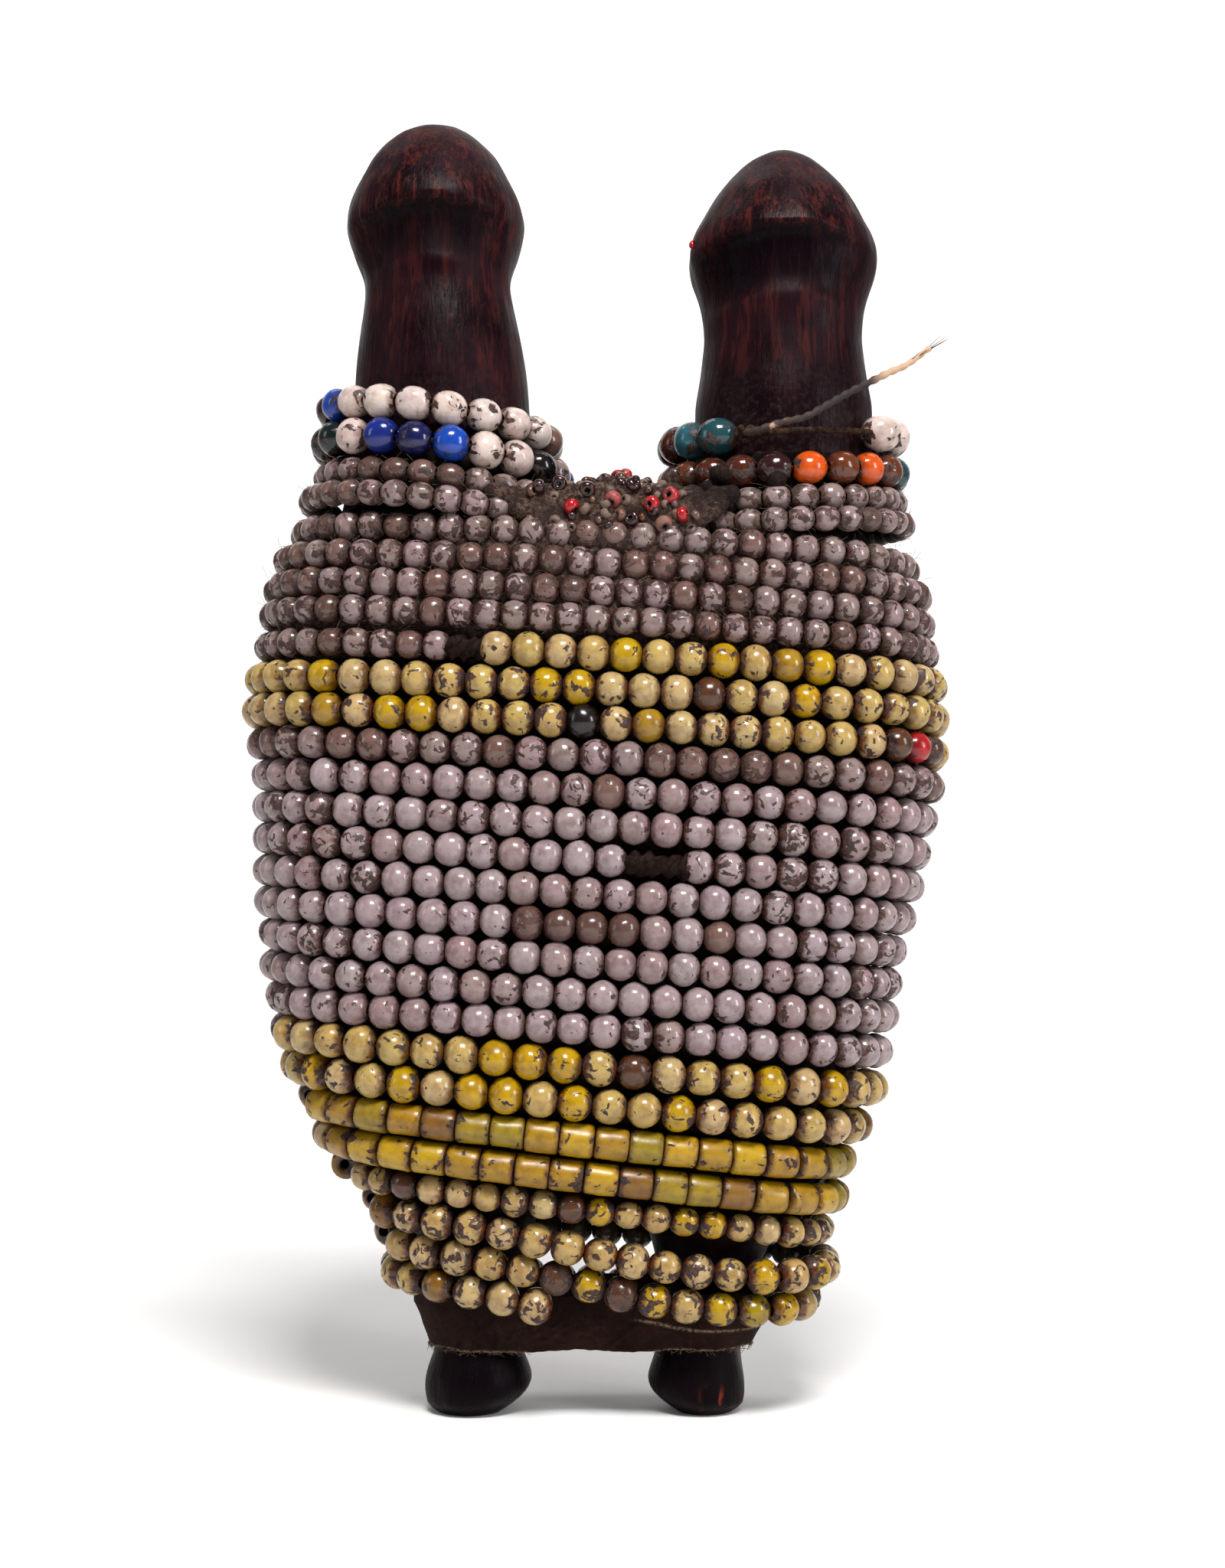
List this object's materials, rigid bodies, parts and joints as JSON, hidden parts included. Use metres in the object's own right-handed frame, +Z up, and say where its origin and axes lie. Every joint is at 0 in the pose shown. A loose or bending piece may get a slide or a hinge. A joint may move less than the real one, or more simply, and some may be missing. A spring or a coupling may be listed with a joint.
{
  "type": "fertility doll",
  "caption": "Twin fertility doll: carved wooden figures tied side by side in rag and cloth, wound with strings of glass beads, with loose bead loops on both necks.",
  "frame": {"origin": "on the standing surface, under the middle of the body's widest bead rows", "axes": "+Z up along the doll, front faces -Y, the taller figure is on -X"},
  "size_m": [0.1273, 0.0584, 0.2319],
  "materials": {
    "dark_wood": "oiled, worn to a dull shine",
    "rag": "coarse cotton rag",
    "brown_cloth": "soiled cotton",
    "band_cloth": "plain-woven cotton with frayed edges",
    "crust": "dry resin and dust crust",
    "twine": "twisted plant-fibre twine",
    "white_glass": "old glossy glass with worn, chipped skin",
    "shoulder_glass": "old glossy glass with worn, chipped skin",
    "cream_glass": "old glossy glass with worn, chipped skin",
    "brown_white_glass": "old glossy glass with worn, chipped skin",
    "yellow_glass": "old glossy glass with worn, chipped skin",
    "mustard_glass": "old glossy glass with worn, chipped skin",
    "tan_glass": "old glossy glass with worn, chipped skin",
    "blue_glass": "old glossy glass with worn, chipped skin",
    "dark_blue_glass": "old glossy glass with worn, chipped skin",
    "turquoise_glass": "old glossy glass with worn, chipped skin",
    "amber_glass": "old glossy glass with worn, chipped skin",
    "red_glass": "old glossy glass with worn, chipped skin"
  },
  "bodies": {
    "root": {"left_figure": "dark_wood", "right_figure": "dark_wood", "rag_padding": "rag", "cloth_wrap": "brown_cloth", "upper_binding": "rag", "lower_binding": "rag", "left_neck_wrap": "brown_cloth", "right_neck_wrap": "brown_cloth", "leg_band": "band_cloth", "dirt_crust": "crust", "red_seed_beads": "red_glass", "left_loop_3_beads": "shoulder_glass", "left_loop_4_beads": "shoulder_glass", "right_loop_2_beads": "amber_glass", "right_loop_3_beads": "shoulder_glass", "right_loop_4_beads": "shoulder_glass", "left_loop_3_string": "twine", "left_loop_4_string": "twine", "right_loop_2_string": "twine", "right_loop_3_string": "twine", "right_loop_4_string": "twine", "shoulder_strand_1_beads": "shoulder_glass", "shoulder_strand_2_beads": "shoulder_glass", "upper_yellow_strand_beads": "cream_glass", "brown_white_strand_beads": "brown_white_glass", "white_strand_1_beads": "white_glass", "white_strand_2_beads": "white_glass", "white_strand_3_beads": "white_glass", "lower_yellow_strand_beads": "yellow_glass", "tube_strand_beads": "mustard_glass", "small_yellow_strand_beads": "yellow_glass", "loose_strand_beads": "tan_glass", "shin_strand_beads": "tan_glass", "shoulder_strand_1_string": "twine", "shoulder_strand_2_string": "twine", "upper_yellow_strand_string": "twine", "brown_white_strand_string": "twine", "white_strand_1_string": "twine", "white_strand_2_string": "twine", "white_strand_3_string": "twine", "lower_yellow_strand_string": "twine", "tube_strand_string": "twine", "small_yellow_strand_string": "twine", "loose_strand_string": "twine", "shin_strand_string": "twine"},
    "left_loop_1_cord": {"left_loop_1_string": "twine"},
    "left_loop_1_ring": {"left_loop_1_beads": "blue_glass"},
    "left_loop_2_cord": {"left_loop_2_string": "twine"},
    "left_loop_2_ring": {"left_loop_2_beads": "dark_blue_glass"},
    "right_loop_1_ring": {"right_loop_1_beads": "turquoise_glass", "right_loop_1_string": "twine", "loop_knot": "twine", "cord_end": "twine"}
  },
  "joints": [
    {"name": "left_loop_2_lift", "type": "slide", "parent": "root", "child": "left_loop_2_cord", "axis": [-0.0366, 0, 0.9993], "range_m": [0, 0.01]},
    {"name": "left_loop_2_turn", "type": "hinge", "parent": "left_loop_2_cord", "child": "left_loop_2_ring", "pos_m": [-0.0279, 0, 0.1711], "axis": [0.1392, 0, 0.9903], "continuous": true},
    {"name": "left_loop_1_lift", "type": "slide", "parent": "left_loop_2_cord", "child": "left_loop_1_cord", "axis": [-0.0366, 0, 0.9993], "range_m": [0, 0.013]},
    {"name": "left_loop_1_turn", "type": "hinge", "parent": "left_loop_1_cord", "child": "left_loop_1_ring", "pos_m": [-0.0282, 0, 0.1774], "axis": [0.1392, 0, 0.9903], "continuous": true},
    {"name": "right_loop_1_turn", "type": "hinge", "parent": "root", "child": "right_loop_1_ring", "pos_m": [0.0339, 0, 0.1748], "axis": [-0.0348, -0.0872, 0.9956], "continuous": true}
  ]
}
